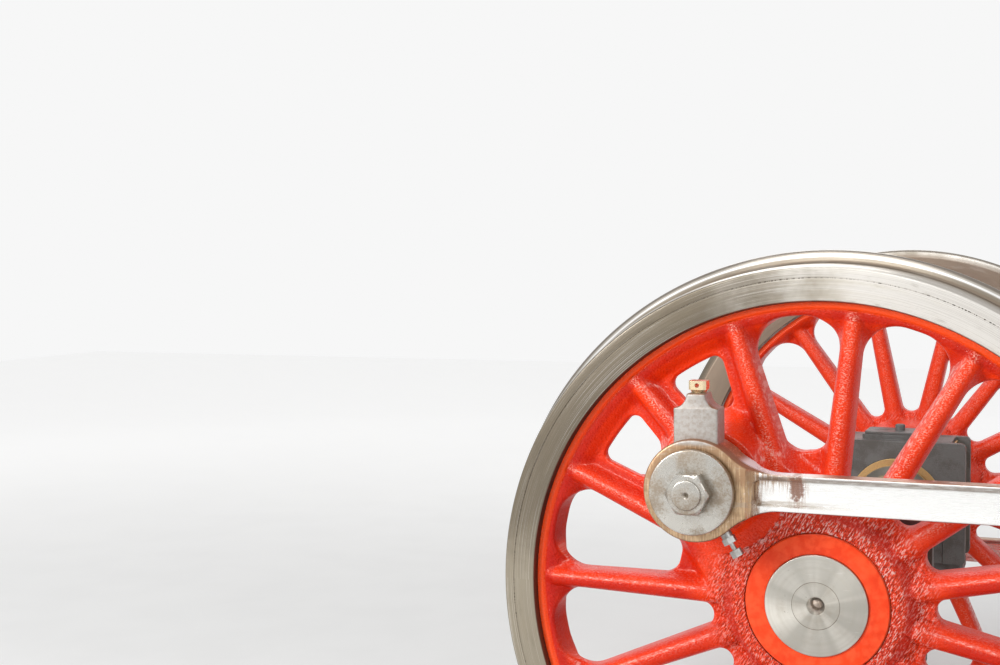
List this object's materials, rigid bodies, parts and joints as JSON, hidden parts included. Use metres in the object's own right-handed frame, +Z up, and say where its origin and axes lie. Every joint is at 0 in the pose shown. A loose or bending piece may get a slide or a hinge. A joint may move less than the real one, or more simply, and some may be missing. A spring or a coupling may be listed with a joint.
{
  "type": "steam locomotive coupled wheelset",
  "caption": "Pair of red spoked wheels with flanged steel tyres on a cranked-pin axle, with axleboxes on the journals and a fluted coupling rod on each crank pin.",
  "frame": {"origin": "middle of the axle, on its axis, where the frame's horn guides hold the axleboxes", "axes": "+X to the locomotive's front along the coupling rods, +Y along the axle to the locomotive's left side, +Z up"},
  "size_m": [2.2632, 2.054, 1.456],
  "materials": {
    "red_casting": "gloss paint on a rough casting",
    "tyre_steel": "turned, dull, lightly stained",
    "bare_steel": "turned, oiled",
    "rod_steel": "ground bright, oil stained",
    "dark_steel": "dull, oily",
    "grey_casting": "grey paint, oily dust",
    "bronze": "machined bearing bronze",
    "brass": "bright machined"
  },
  "bodies": {
    "axleboxes": {"axlebox_right": "grey_casting", "bearing_brass_right": "bronze", "keep_right": "grey_casting", "horn_liners_right": "bronze", "oil_lid_right": "grey_casting", "spring_strap_right": "grey_casting", "axlebox_left": "grey_casting", "bearing_brass_left": "bronze", "keep_left": "grey_casting", "horn_liners_left": "bronze", "oil_lid_left": "grey_casting", "spring_strap_left": "grey_casting"},
    "wheelset": {"axle": "bare_steel", "wheel_centre_right": "red_casting", "tyre_right": "tyre_steel", "retaining_ring_right": "dark_steel", "crank_pin_right": "bare_steel", "pin_nut_right": "bare_steel", "wheel_centre_left": "red_casting", "tyre_left": "tyre_steel", "retaining_ring_left": "dark_steel", "crank_pin_left": "bare_steel", "pin_nut_left": "bare_steel"},
    "rod_right": {"coupling_rod_right": "rod_steel", "rod_bush_rear_right": "bronze", "rod_bush_front_right": "bronze", "oil_cups_right": "brass", "set_screws_right": "dark_steel"},
    "rod_left": {"coupling_rod_left": "rod_steel", "rod_bush_rear_left": "bronze", "rod_bush_front_left": "bronze", "oil_cups_left": "brass", "set_screws_left": "dark_steel"}
  },
  "joints": [
    {"name": "wheelset_spin", "type": "hinge", "parent": "axleboxes", "child": "wheelset", "pos_m": [0, 0, 0], "axis": [0, 1, 0], "continuous": true},
    {"name": "rod_right_pivot", "type": "hinge", "parent": "wheelset", "child": "rod_right", "pos_m": [-0.21866, -0.92, 0.24716], "axis": [0, 1, 0], "continuous": true},
    {"name": "rod_left_pivot", "type": "hinge", "parent": "wheelset", "child": "rod_left", "pos_m": [-0.24716, 0.92, -0.21866], "axis": [0, 1, 0], "continuous": true}
  ],
  "couplings": [
    {"joint": "rod_right_pivot", "follows": "wheelset_spin", "ratio": -1},
    {"joint": "rod_left_pivot", "follows": "wheelset_spin", "ratio": -1}
  ]
}
